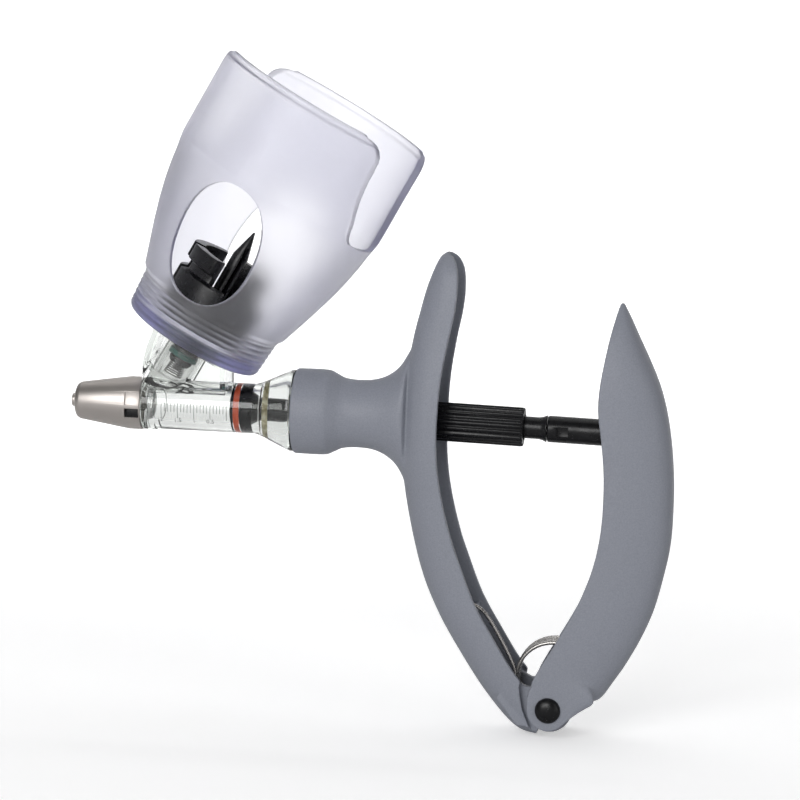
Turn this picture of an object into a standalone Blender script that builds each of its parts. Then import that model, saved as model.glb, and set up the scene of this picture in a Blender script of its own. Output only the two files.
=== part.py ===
"""Bottle-mounted automatic syringe: a hand tool that refills itself from a bottle held in a cup.

Frame: +X runs from the nozzle to the lever along the barrel's axis, +Z is up, Y = 0 is the middle plane.
The origin is at the front of the male luer cone. Sizes below are millimetres; meshes are made in metres.
"""

import math

import bmesh
import bpy
from mathutils import Matrix, Vector

MM = 0.001
GAP = 0.3                      # clearance kept between neighbouring pieces

# Driving dimensions --------------------------------------------------------------------------------
DOSE_STROKE = 23.0             # piston travel for one squeeze of the lever
DOSE_TRIM = 2.0                # travel of the piston for two turns of the dose dial

BORE_R = 5.15
BARREL_R = 7.7
CHAMBER_X = 24.7               # front wall of the measuring chamber
PISTON_X = CHAMBER_X + 0.7 + DOSE_STROKE + DOSE_TRIM
BARREL_END_X = 78.0

NOSE_END_X = 22.7
NOSE_R = 8.15
LUER_TIP_R = 1.98
LUER_BORE_R = 1.0

CUP_TILT = 28.8                # degrees between the cup's axis and +Z
CUP_FOOT = (38.2, 22.1)        # X and Z of the middle of the cup's underside
CUP_TURN = -10.0               # how far the cup is screwed round on its own axis
SLOT_TURN = -15.0              # the same for the notches in its wall
CUP_TOP = 83.1
SPIKE_TOP = 36.6

NECK_R = 13.1
NECK_FRONT_X = 70.4
NECK_BORE_R = 8.0
COUNTERBORE_R = 10.5
COUNTERBORE_END_X = 80.6

HANDLE_WALL = 2.1
LEVER_WALL = 2.2
PIVOT = (152.5, -86.5)         # X and Z of the lever's pivot
EAR_R = 7.2
EAR_INNER_Y = 6.7
EAR_OUTER_Y = 9.0
CHEEK_INNER_Y = 9.3
CHEEK_OUTER_Y = 11.7
CHEEK_R = 6.4
BUSH_R = 2.2
SHANK_R = 1.3
SCREW_HEAD_R = 3.95

ROD_R = 3.55
ROD_TILT = 1.1                 # degrees by which the rod dips towards the lever, about the piston
DIAL_R = 6.0
DIAL_FRONT_X = 112.5
DIAL_END_X = 141.0
DIAL_FLUTES = 18
LINK_R = 3.35
ROD_END_R = 4.05
ROD_END_X = 148.3
PIN_X = 176.0
PIN_R = 1.25

SPRING_CENTRE = (153.2, -78.2)
SPRING_R = 11.4
SPRING_WIRE_R = 0.6
SPRING_TURNS = 8
SPRING_PITCH = 1.45


# Materials ------------------------------------------------------------------------------------------
def material(name, colour, roughness, metallic=0.0, transmission=0.0):
    made = bpy.data.materials.new(name)
    made.use_nodes = True
    shader = made.node_tree.nodes["Principled BSDF"]
    shader.inputs["Base Color"].default_value = (*colour, 1.0)
    shader.inputs["Roughness"].default_value = roughness
    shader.inputs["Metallic"].default_value = metallic
    shader.inputs["Transmission Weight"].default_value = transmission
    return made


# Mesh helpers ---------------------------------------------------------------------------------------
def finished(name, mesh_data, surface, sharp_degrees=35.0):
    """Turns a bmesh in millimetres into an object with outward faces and a material."""
    bmesh.ops.remove_doubles(mesh_data, verts=mesh_data.verts, dist=1e-5)
    bmesh.ops.recalc_face_normals(mesh_data, faces=mesh_data.faces)
    bmesh.ops.scale(mesh_data, vec=(MM, MM, MM), verts=mesh_data.verts)
    mesh = bpy.data.meshes.new(name)
    mesh_data.to_mesh(mesh)
    mesh_data.free()
    mesh.shade_smooth()
    mesh.set_sharp_from_angle(angle=math.radians(sharp_degrees))
    obj = bpy.data.objects.new(name, mesh)
    bpy.context.collection.objects.link(obj)
    if surface:
        mesh.materials.append(surface)
    return obj


def along_x(x=0.0):
    """Local +Z becomes world +X."""
    return Matrix.Translation((x * MM, 0, 0)) @ Matrix.Rotation(math.pi / 2, 4, "Y")


def along_rod():
    """The barrel's axis tilted about the piston, so that the rod meets the lever's pin."""
    swing = Matrix.Translation(((PISTON_X + 5.0) * MM, 0, 0))
    return swing @ Matrix.Rotation(math.radians(ROD_TILT), 4, "Y") @ swing.inverted() @ along_x()


def rod_height(x):
    """Z of the rod's axis at x."""
    return -math.tan(math.radians(ROD_TILT)) * (x - PISTON_X - 5.0)


def along_cup(height=0.0, turn=0.0):
    """Local +Z becomes the cup's axis; the local origin is on the cup's underside."""
    place = Matrix.Translation((CUP_FOOT[0] * MM, 0, CUP_FOOT[1] * MM))
    tilt = Matrix.Rotation(math.radians(CUP_TILT), 4, "Y")
    spun = Matrix.Rotation(math.radians(turn), 4, "Z")
    return place @ tilt @ spun @ Matrix.Translation((0, 0, height * MM))


def along_y(x, z):
    """Local +Z becomes world +Y, through the point (x, z)."""
    return Matrix.Translation((x * MM, 0, z * MM)) @ Matrix.Rotation(-math.pi / 2, 4, "X")


def ring_points(radius, height, count):
    step = 2 * math.pi / count
    return [(radius * math.cos(i * step), radius * math.sin(i * step), height) for i in range(count)]


def bridged(rings, closed_loop):
    """A skin over rings of equal length; closed_loop joins the last ring to the first."""
    data = bmesh.new()
    rows = [[data.verts.new(point) for point in ring] for ring in rings]
    count = len(rows[0])
    pairs = list(zip(rows, rows[1:]))
    if closed_loop:
        pairs.append((rows[-1], rows[0]))
    for low, high in pairs:
        for i in range(count):
            j = (i + 1) % count
            data.faces.new((low[i], low[j], high[j], high[i]))
    if not closed_loop:
        data.faces.new(rows[0])
        data.faces.new(rows[-1])
    return data


def turned(name, profile, surface, place, segments=40, hollow=False, sharp_degrees=35.0):
    """A turned piece. profile lists (radius, height); a hollow one is a closed loop round a bore."""
    rings = [ring_points(radius, height, segments) for radius, height in profile]
    obj = finished(name, bridged(rings, hollow), surface, sharp_degrees)
    obj.matrix_world = place
    return obj


def washer(name, inner, outer, low, high, surface, place, segments=40):
    profile = [(inner, low), (outer, low), (outer, high), (inner, high)]
    return turned(name, profile, surface, place, segments, hollow=True)


def rod(name, radius, low, high, surface, place, segments=24):
    return turned(name, [(radius, low), (radius, high)], surface, place, segments)


def block(name, lower, upper, surface=None):
    data = bmesh.new()
    bmesh.ops.create_cube(data, size=1.0)
    size = [upper[i] - lower[i] for i in range(3)]
    middle = [(upper[i] + lower[i]) / 2 for i in range(3)]
    bmesh.ops.scale(data, vec=size, verts=data.verts)
    bmesh.ops.translate(data, vec=middle, verts=data.verts)
    return finished(name, data, surface)


def plate(name, outline, low_y, high_y, surface=None):
    """An outline in the XZ plane, extruded along Y."""
    rings = [[(x, y, z) for x, z in outline] for y in (low_y, high_y)]
    return finished(name, bridged(rings, False), surface)


def arc(centre, radius, start, end, count):
    """Points on an arc in the XZ plane; angles in degrees, from +X towards +Z."""
    points = []
    for i in range(count + 1):
        angle = math.radians(start + (end - start) * i / count)
        points.append((centre[0] + radius * math.cos(angle), centre[1] + radius * math.sin(angle)))
    return points


def tube(name, path, radius, sides, surface):
    """A round wire along a list of points, with frames carried along so that it doesn't twist."""
    points = [Vector(point) for point in path]
    rings = []
    side = None
    for i, point in enumerate(points):
        ahead = points[min(i + 1, len(points) - 1)] - points[max(i - 1, 0)]
        ahead.normalize()
        if side is None:
            side = ahead.orthogonal().normalized()
        side = (side - ahead * side.dot(ahead)).normalized()
        other = ahead.cross(side)
        ring = []
        for k in range(sides):
            angle = 2 * math.pi * k / sides
            ring.append(point + side * radius * math.cos(angle) + other * radius * math.sin(angle))
        rings.append(ring)
    return finished(name, bridged(rings, False), surface, 60.0)


def smooth_path(points, steps):
    """A Catmull-Rom curve through the points."""
    knots = [Vector(point) for point in points]
    ends = [2 * knots[0] - knots[1]] + knots + [2 * knots[-1] - knots[-2]]
    path = []
    for a, b, c, d in zip(ends, ends[1:], ends[2:], ends[3:]):
        for i in range(steps):
            t = i / steps
            path.append(0.5 * (2 * b + (c - a) * t + (2 * a - 5 * b + 4 * c - d) * t ** 2
                               + (3 * b - a - 3 * c + d) * t ** 3))
    path.append(knots[-1])
    return path


def combine(target, other, operation):
    """Adds a Boolean to target; the other object is a guide and not a piece of its own."""
    step = target.modifiers.new(other.name, "BOOLEAN")
    step.operation = operation
    step.solver = "EXACT"
    step.object = other
    other.hide_render = True
    other.display_type = "WIRE"


def cut(target, other):
    combine(target, other, "DIFFERENCE")


def join(target, other):
    combine(target, other, "UNION")


def channel_skin(stations, wall, roundness, sides, steps):
    """A U-shaped channel lofted through stations of (closed-side point, rim point, half width)."""
    rows = [Vector((s[0][0], s[0][1], s[1][0], s[1][1], s[2])) for s in stations]
    rings = []
    for closed_x, closed_z, rim_x, rim_z, half in smooth_path(rows, steps):
        rim = Vector((rim_x, 0, rim_z))
        inward = Vector((closed_x, 0, closed_z)) - rim
        depth = inward.length
        inward.normalize()
        thin = min(wall, 0.4 * depth, 0.4 * half)
        ring = []
        for width, reach, order in ((half, depth, 1), (half - thin, depth - thin, -1)):
            for i in range(sides + 1)[::order]:
                angle = math.pi * i / sides
                across = math.copysign(abs(math.cos(angle)) ** (2 / roundness), math.cos(angle))
                down = math.sin(angle) ** (2 / roundness) if 0 < i < sides else 0.0
                ring.append(rim + inward * reach * down + Vector((0, -width * across, 0)))
        rings.append(ring)
    return bridged(rings, False)


# Front end ------------------------------------------------------------------------------------------
def nose_cone(steel):
    profile = [(3.6, 1.4), (4.2, 1.4), (5.2, 1.9), (5.75, 2.9), (NOSE_R, 18.5), (NOSE_R, NOSE_END_X),
               (6.2, NOSE_END_X), (6.2, 10.0), (2.6, 10.0), (2.6, 8.5), (3.6, 8.5)]
    cone = turned("nose_cone", profile, steel, along_x(), 36, hollow=True)
    flat = block("wrench_flat", (17.0, -10.0, -6.0), (21.9, -7.2, 2.4))
    cut(cone, flat)


def luer_insert(steel):
    profile = [(LUER_BORE_R, 0.0), (LUER_TIP_R, 0.0), (2.2, 8.8), (2.2, 10.3), (5.8, 10.3),
               (5.8, 12.2), (LUER_BORE_R, 12.2)]
    turned("luer_insert", profile, steel, along_x(), 24, hollow=True)


def outlet_valve(dark, steel, seal, clear):
    disc = [(1.1, 14.6), (1.1, 16.2), (3.0, 16.2), (3.0, 17.4)]
    turned("outlet_valve", disc, dark, along_x(), 24)
    seat = [(1.6, 17.7), (3.4, 17.7), (3.4, 14.6), (5.8, 14.6), (5.8, 19.4), (1.6, 19.4)]
    turned("outlet_valve_seat", seat, seal, along_x(), 24, hollow=True)
    coil = [(12.7 + 3.1 * i / 36, 1.8 * math.cos(i * math.pi / 6), 1.8 * math.sin(i * math.pi / 6))
            for i in range(37)]
    tube("outlet_spring", coil, 0.2, 5, steel)
    washer("nose_gasket", 1.9, 5.8, 19.7, 20.7, clear, along_x(), 24)


# Barrel ---------------------------------------------------------------------------------------------
def barrel(clear):
    outer = [(5.8, 21.0), (5.8, 23.0), (8.0, 23.0), (8.0, 27.0), (BARREL_R, 27.3), (BARREL_R, 58.0),
             (8.6, 60.5), (11.9, 67.6), (12.5, 69.0), (12.5, 70.1), (10.1, 70.1), (10.1, BARREL_END_X)]
    inner = [(8.4, BARREL_END_X), (8.4, 70.0), (6.9, 65.0), (6.6, 63.4), (6.6, 60.5), (BORE_R, 60.5),
             (BORE_R, CHAMBER_X), (1.6, CHAMBER_X), (1.6, 21.0)]
    body = turned("barrel", outer + inner, clear, along_x(), 32, hollow=True)
    cut(body, inlet_port())


def inlet_port():
    """The slanting hole from the inlet valve's chamber into the front of the measuring chamber."""
    start = Vector((34.5, 0, 11.6))
    end = Vector((26.0, 0, 3.6))
    port = rod("inlet_port", 1.1, 0.0, (start - end).length, None, Matrix.Identity(4), 12)
    port.matrix_world = Matrix.Translation(end * MM) @ (start - end).to_track_quat("Z", "Y").to_matrix().to_4x4()
    return port


def rear_seal_and_guide(amber, dark):
    washer("rear_seal_ring", ROD_R + 0.9, 6.3, 60.8, 63.0, amber, along_x(), 32)
    washer("rod_guide", ROD_R + 1.4, 10.1, BARREL_END_X + GAP, 80.3, dark, along_x(), 32)


# Inlet valve under the bottle -------------------------------------------------------------------------
def inlet_housing(clear):
    top = [(9.4, -22.0), (9.4, -2.6), (8.1, -2.6), (8.1, 2.2)]
    body = turned("inlet_housing", top, clear, along_cup(), 32)
    hood = [(23.2, 4.0), (23.2, 9.5), (23.5, 14.0), (24.5, 18.5), (25.9, 22.2), (27.0, 25.6), (31.0, 27.0),
            (49.3, 16.0), (49.3, 4.0)]
    cut(body, block("nose_side", (0.0, -20.0, -10.0), (23.14, 20.0, 30.0)))
    web = plate("housing_web", hood, -7.0, 7.0)
    cut(web, turned("web_limit", [(30.0, -2.7), (30.0, 12.0)], None, along_cup(), 12))
    join(body, web)
    cut(body, block("housing_below", (10.0, -20.0, -20.0), (60.0, 20.0, 4.4)))
    cut(body, rod("barrel_saddle", 8.3, 10.0, 60.0, None, along_x(), 32))
    cut(body, rod("valve_chamber", 4.8, -24.0, 4.0, None, along_cup(), 28))


def inlet_valve(seal, dark, steel):
    washer("inlet_valve_seat", 1.5, 4.5, -8.0, -6.3, seal, along_cup(), 28)
    turned("inlet_valve", [(1.2, -12.4), (1.2, -10.3), (3.6, -10.3), (3.9, -8.8), (3.4, -8.3)], dark,
           along_cup(), 28)
    turns = 6
    coil = [(2.4 * math.cos(i * math.pi / 7), 2.4 * math.sin(i * math.pi / 7), -14.4 + 3.8 * i / (14 * turns))
            for i in range(14 * turns + 1)]
    spring = tube("inlet_spring", coil, 0.2, 5, steel)
    spring.matrix_world = along_cup()


# Bottle cup -------------------------------------------------------------------------------------------
def bottle_spike(dark):
    profile = [(1.0, -5.9), (4.4, -5.9), (4.4, 5.3), (6.5, 5.3), (6.5, 6.8), (3.7, 6.8), (2.55, 12.0),
               (2.55, 28.0), (0.25, SPIKE_TOP), (0.05, SPIKE_TOP - 1.0), (0.9, 27.0), (1.0, 26.0)]
    spike = turned("bottle_spike", profile, dark, along_cup(), 20, hollow=True)
    groove = block("spike_groove", (-0.6, -4.0, 10.0), (0.6, -0.5, 31.5))
    groove.matrix_world = along_cup(0.0, 30.0)
    cut(spike, groove)


def bottle_collar(dark):
    profile = [(4.8, 2.5), (15.0, 2.5), (15.0, 17.0), (12.8, 17.6), (12.6, 20.0), (14.5, 20.6),
               (14.5, 25.4), (10.9, 25.4), (10.9, 4.8), (4.8, 4.8)]
    collar = turned("bottle_collar", profile, dark, along_cup(), 36, hollow=True)
    for i in range(4):
        slot = block(f"collar_slot_{i}", (9.0, -1.6, 6.5), (17.0, 1.6, 27.0))
        slot.matrix_world = along_cup(0.0, 20.0 + 90.0 * i)
        cut(collar, slot)
    open_side = block("collar_open_side", (5.0, -16.0, 17.3), (18.0, 16.0, 27.0))
    open_side.matrix_world = along_cup(0.0, -35.0)
    cut(collar, open_side)


def cup_outline():
    """Outer wall of the cup, from its underside to its rim, as (radius, height)."""
    return [(20.6, -2.0), (21.9, -1.2), (22.3, 0.8), (22.7, 4.0), (24.3, 10.6), (28.5, 24.4), (30.7, 32.0),
            (32.1, 38.0), (33.1, 43.5), (33.5, 48.3), (34.4, 50.2), (34.9, CUP_TOP - 0.6), (34.4, CUP_TOP)]


def cup_inside():
    return [(33.0, CUP_TOP), (32.4, 50.2), (31.7, 43.5), (30.5, 38.0), (28.7, 31.5), (26.5, 24.0),
            (22.4, 10.6), (20.8, 4.4), (19.0, 2.2), (8.5, 2.2), (8.5, -1.2), (11.8, -1.2), (11.8, -2.0)]


def petal_slot(name, turn):
    """One of the two deep notches in the cup's wall, round-bottomed and flared at the rim."""
    half = 16.8
    rim = CUP_TOP + 3.0
    outline = [(-half - 6.5, rim), (-half - 6.5, CUP_TOP - 0.6)]
    outline += [(-half - 6.5 * (1 - math.sin(a)), CUP_TOP - 7.1 + 6.5 * math.cos(a))
                for a in (0.4, 0.8, 1.2, 1.5708)]
    outline += [(-15.4, 64.0), (-13.2, 57.6), (-12.4, 54.4), (-10.9, 52.0), (-8.4, 50.8), (-5.0, 50.4)]
    outline += [(-x, z) for x, z in reversed(outline)]
    cutter = plate(name, outline, 10.0, 45.0)
    cutter.matrix_world = along_cup(0.0, turn)
    return cutter


def window(name, turn):
    """An upright oval opening in the cup's cone."""
    outline = []
    for i in range(20):
        angle = 2 * math.pi * i / 20
        bulge = 1.0 / (abs(math.cos(angle)) ** 2.3 + abs(math.sin(angle)) ** 2.3) ** (1 / 2.3)
        outline.append((13.2 * math.cos(angle) * bulge, 31.5 + 19.2 * math.sin(angle) * bulge))
    cutter = plate(name, outline, 10.0, 45.0)
    cutter.matrix_world = along_cup(0.0, turn)
    return cutter


def bottle_cup(frosted):
    cup = turned("bottle_cup", cup_outline() + cup_inside(), frosted, along_cup(), 48, hollow=True)
    for i, turn in enumerate((90.0, 270.0)):
        cut(cup, petal_slot(f"cup_slot_{i}", SLOT_TURN + turn))
    for i, turn in enumerate((0.0, 180.0)):
        cut(cup, window(f"cup_window_{i}", CUP_TURN + turn))
    return cup


# Handle -----------------------------------------------------------------------------------------------
HANDLE_STATIONS = [
    ((115.6, 50.9), (116.8, 50.7), 3.4),
    ((113.8, 49.4), (118.7, 48.8), 7.2),
    ((112.0, 45.7), (120.0, 45.1), 10.0),
    ((109.9, 39.7), (120.3, 39.3), 11.4),
    ((108.1, 32.5), (119.7, 32.5), 12.0),
    ((106.3, 24.5), (118.1, 24.0), 12.5),
    ((104.9, 14.0), (116.4, 12.5), 13.6),
    ((104.0, 2.0), (115.8, 1.0), 14.3),
    ((104.0, -10.0), (116.0, -11.5), 14.0),
    ((105.2, -21.5), (117.7, -23.0), 13.0),
    ((108.0, -35.0), (120.9, -35.0), 12.3),
    ((111.9, -48.5), (124.2, -44.0), 12.0),
    ((117.5, -60.7), (129.0, -55.5), 12.0),
    ((124.9, -72.7), (135.2, -65.8), 12.0),
    ((131.6, -82.3), (140.9, -74.6), 12.0),
    ((138.7, -90.6), (146.6, -81.4), 12.0),
    ((143.6, -94.3), (150.2, -85.4), 12.0),
    ((148.6, -95.5), (152.0, -87.0), 12.0),
]

NECK_SECTIONS = [
    # x, half height, half width
    (NECK_FRONT_X, 12.5, 12.5), (71.0, NECK_R, NECK_R), (79.6, NECK_R, NECK_R), (82.4, 12.2, 12.2),
    (84.8, 11.0, 11.0), (87.4, 10.5, 10.5), (91.0, 10.4, 10.5), (94.2, 10.7, 10.8), (97.2, 11.6, 11.3),
    (100.0, 13.2, 12.0), (102.7, 15.8, 12.8), (105.4, 20.6, 13.2),
]


def elliptic_loft(name, sections, count=36):
    rings = []
    for x, high, wide in sections:
        ring = [(x, wide * math.cos(2 * math.pi * i / count), high * math.sin(2 * math.pi * i / count))
                for i in range(count)]
        rings.append(ring)
    return finished(name, bridged(rings, False), None)


def ear_outline(left):
    """The handle's ear round the pivot, reaching back to X = left inside the arm."""
    top = arc(PIVOT, EAR_R, -100, 100, 12)
    return top + [(left, PIVOT[1] + EAR_R - 1.5), (left, PIVOT[1] - 2.0)]


def seam_outline():
    """Everything beyond this curve is cut from the arm's flanks, so that the lever's cheeks fit."""
    curve = [(149.2, -97.0), (147.3, -92.9), (146.0, -89.9), (144.6, -86.6), (144.0, -83.4), (143.5, -80.0),
             (143.9, -77.4), (146.5, -72.0)]
    return curve + [(170.0, -72.0), (170.0, -97.0)]


def handle(grey):
    shell = finished("handle_shell", channel_skin(HANDLE_STATIONS, HANDLE_WALL, 2.7, 9, 2), grey, 40.0)
    join(shell, elliptic_loft("neck_body", NECK_SECTIONS))
    for side in (-1, 1):
        ear = plate(f"ear_{side}", ear_outline(141.0), side * EAR_INNER_Y, side * EAR_OUTER_Y)
        root = [(136.5, -83.6), (140.6, -77.6), (147.0, -80.8), (147.0, -92.2), (143.0, -91.8)]
        backing = plate(f"ear_root_{side}", root, side * (EAR_INNER_Y + 0.01), side * 10.9)
        join(shell, backing)
        join(shell, ear)
    join(shell, spring_rib())
    cut(shell, rod("neck_bore", NECK_BORE_R, 60.0, 112.0, None, along_x(), 32))
    cut(shell, rod("neck_counterbore", COUNTERBORE_R, 60.0, COUNTERBORE_END_X, None, along_x(), 40))
    for side in (-1, 1):
        recess = plate(f"cheek_recess_{side}", seam_outline(), side * (EAR_OUTER_Y - 0.04), side * 16.0)
        cut(shell, recess)
    cut(shell, rod("ear_hole", BUSH_R + GAP, -20.0, 20.0, None, along_y(*PIVOT), 20))


def spring_rib():
    """A rib across the channel, which the spring's hooked leg bears on."""
    half = [(1.2, 5.2), (3.6, 9.0), (6.5, 10.2), (10.8, 10.6)]
    outline = half + [(up, -across) for up, across in reversed(half)]
    rings = [[(up, across, low) for up, across in outline] for low in (-3.6, -1.6)]
    rib = finished("spring_rib", bridged(rings, False), None)
    turn = Matrix.Rotation(-math.atan2(5.2, 11.7), 4, "Y")
    rib.matrix_world = Matrix.Translation((117.5 * MM, 0, -60.7 * MM)) @ turn
    return rib


# Lever -------------------------------------------------------------------------------------------------
LEVER_STATIONS = [
    ((169.9, 37.7), (168.9, 37.4), 1.8),
    ((172.3, 33.2), (167.8, 32.8), 5.6),
    ((175.0, 27.6), (166.6, 27.2), 8.7),
    ((178.5, 20.6), (165.4, 20.1), 10.9),
    ((181.8, 13.2), (164.4, 12.6), 11.9),
    ((184.2, 5.4), (164.2, 5.4), 12.1),
    ((186.0, -4.0), (165.5, -3.6), 12.1),
    ((187.1, -14.5), (166.6, -13.5), 12.1),
    ((187.4, -25.0), (166.8, -24.0), 12.1),
    ((187.0, -35.6), (166.1, -33.6), 12.0),
    ((185.3, -45.4), (164.2, -43.0), 11.9),
    ((182.7, -56.0), (160.8, -52.6), 12.0),
    ((179.0, -65.2), (156.8, -60.8), 12.0),
    ((174.7, -73.4), (152.6, -68.4), 12.0),
    ((171.6, -78.2), (149.4, -74.0), 12.0),
    ((168.2, -83.2), (147.2, -78.8), 12.0),
]


def cheek_outline():
    """A cheek of the lever: the round end on the pivot and the flank above it."""
    round_end = arc(PIVOT, CHEEK_R, 172, 312, 10)
    return round_end + [(159.7, -88.9), (162.2, -86.9), (165.4, -85.6), (167.1, -84.3), (167.8, -82.0),
                        (167.0, -78.0), (152.5, -74.8), (149.0, -76.9), (146.6, -80.6), (145.95, -84.0)]


def lever(grey, steel):
    shell = finished("lever_shell", channel_skin(LEVER_STATIONS, LEVER_WALL, 2.9, 9, 2), grey, 40.0)
    for side in (-1, 1):
        join(shell, plate(f"cheek_{side}", cheek_outline(), side * CHEEK_INNER_Y, side * CHEEK_OUTER_Y))
        low = 4.4 if side > 0 else -9.6
        join(shell, rod(f"pin_boss_{side}", 3.2, low, low + 5.2, None, along_y(PIN_X, rod_height(PIN_X)), 16))
    cut(shell, rod("pin_holes", PIN_R + GAP, -8.6, 8.6, None, along_y(PIN_X, rod_height(PIN_X)), 16))
    reach = CHEEK_INNER_Y - 0.04
    cut(shell, rod("ear_clearance", EAR_R + 0.5, -reach, reach, None, along_y(*PIVOT), 32))
    cut(shell, rod("screw_hole", SHANK_R + GAP, -20.0, 20.0, None, along_y(*PIVOT), 20))
    rod("lever_cross_pin", PIN_R, -8.3, 8.3, steel, along_y(PIN_X, rod_height(PIN_X)), 16)


def pivot_hardware(dark, steel):
    place = along_y(*PIVOT)
    head = [(3.0, -13.7), (SCREW_HEAD_R, -13.2), (SCREW_HEAD_R, -CHEEK_OUTER_Y - GAP),
            (SHANK_R, -CHEEK_OUTER_Y - GAP), (SHANK_R, 13.2)]
    turned("pivot_screw", head, dark, place, 28)
    nut = [(SHANK_R + GAP, 12.2), (SCREW_HEAD_R, 12.2), (SCREW_HEAD_R, 13.2), (3.0, 13.7), (SHANK_R + GAP, 13.7)]
    turned("pivot_nut", nut, dark, place, 28, hollow=True)
    washer("pivot_bush", SHANK_R + GAP, BUSH_R, -EAR_OUTER_Y, EAR_OUTER_Y, steel, place, 24)


def torsion_spring(steel):
    half = 0.5 * SPRING_TURNS * SPRING_PITCH
    handle_leg = smooth_path([(123.4, -half, -58.2), (125.6, -half, -57.0), (127.3, -half, -56.8),
                              (129.5, -half, -57.7), (131.8, -half, -60.0), (135.0, -half, -65.0),
                              (139.0, -half, -71.6), (141.2, -half, -75.6)], 2)
    turns = SPRING_TURNS * 12
    coil = []
    for i in range(turns + 7):
        angle = math.pi + 2 * math.pi * i / 12
        coil.append((SPRING_CENTRE[0] + SPRING_R * math.cos(angle), -half + 2 * half * i / (turns + 6),
                     SPRING_CENTRE[1] + SPRING_R * math.sin(angle)))
    lever_leg = smooth_path([(164.9, half, -75.4), (167.0, half, -70.2), (170.9, half, -65.2),
                             (174.4, half, -60.2), (176.4, half, -57.1)], 2)
    tube("torsion_spring", handle_leg + coil + lever_leg, SPRING_WIRE_R, 5, steel)


# Piston, rod and dose dial ----------------------------------------------------------------------------
def piston(dark, orange):
    x = PISTON_X
    head = [(3.6, x), (4.7, x + 0.5), (4.85, x + 1.2), (3.5, x + 1.2), (3.5, x + 3.0), (4.85, x + 3.0),
            (4.85, x + 6.4), (3.9, x + 9.4)]
    turned("piston_head", head, dark, along_x(), 28)
    rings = []
    for i in range(6):
        angle = 2 * math.pi * i / 6
        rings.append((4.32 + 0.7 * math.cos(angle), x + 2.1 + 0.7 * math.sin(angle)))
    turned("piston_o_ring", rings, orange, along_x(), 28, hollow=True)
    rod("piston_rod", ROD_R, x + 9.8, 128.0, dark, along_rod(), 24)


def dose_dial(dark):
    count = DIAL_FLUTES * 4
    radii = [DIAL_R, DIAL_R, DIAL_R - 0.55, DIAL_R - 0.55]
    outline = []
    for i in range(count):
        angle = 2 * math.pi * i / count
        outline.append((radii[i % 4] * math.cos(angle), radii[i % 4] * math.sin(angle)))
    rings = [[(0.97 * a, 0.97 * b, DIAL_FRONT_X) for a, b in outline],
             [(a, b, DIAL_FRONT_X + 0.5) for a, b in outline],
             [(a, b, DIAL_END_X - 0.4) for a, b in outline],
             [(0.96 * a, 0.96 * b, DIAL_END_X) for a, b in outline]]
    dial = finished("dose_dial", bridged(rings, False), dark, 30.0)
    dial.matrix_world = along_rod()
    cut(dial, rod("dial_rod_bore", ROD_R + GAP, 100.0, 130.2, None, along_rod(), 24))
    cut(dial, rod("dial_link_bore", LINK_R + GAP, 129.0, 150.0, None, along_rod(), 24))


def rod_link(dark):
    profile = [(LINK_R, 130.6), (LINK_R, 145.6), (3.6, 146.8), (ROD_END_R, ROD_END_X - 0.5),
               (ROD_END_R, ROD_END_X - GAP)]
    turned("rod_link", profile, dark, along_rod(), 24)


def rod_end(dark):
    """The rear rod: round outside the lever, and a flat blade with a tall slot for the cross pin."""
    profile = [(3.8, ROD_END_X), (ROD_END_R, ROD_END_X + 0.3), (ROD_END_R, 168.0), (3.2, 169.0)]
    end = turned("rod_end", profile, dark, along_rod(), 24)
    level = rod_height(PIN_X)
    join(end, block("rod_blade", (164.0, -3.0, level - 4.4), (180.6, 3.0, level + 7.4)))
    slot_low = (PIN_X - 1.65, -6.0, level - 1.9)
    slot_high = (PIN_X + 1.65, 6.0, level + 5.3)
    cut(end, block("pin_slot", slot_low, slot_high))
    window_level = rod_height(153.0) - 0.3
    cut(end, block("rod_window", (151.3, -6.0, window_level - 1.5), (154.7, -2.6, window_level + 1.5)))


# Assembly ---------------------------------------------------------------------------------------------
def empty(name, place):
    axis = bpy.data.objects.new(name, None)
    axis.matrix_world = place
    bpy.context.collection.objects.link(axis)
    return axis


def hang(axis, names):
    """Parents pieces to an empty on their joint's axis, without moving them."""
    for name in names:
        child = bpy.data.objects[name]
        child.parent = axis
        child.matrix_parent_inverse = axis.matrix_world.inverted()


def clear_scene():
    for obj in list(bpy.data.objects):
        bpy.data.objects.remove(obj, do_unlink=True)


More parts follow.
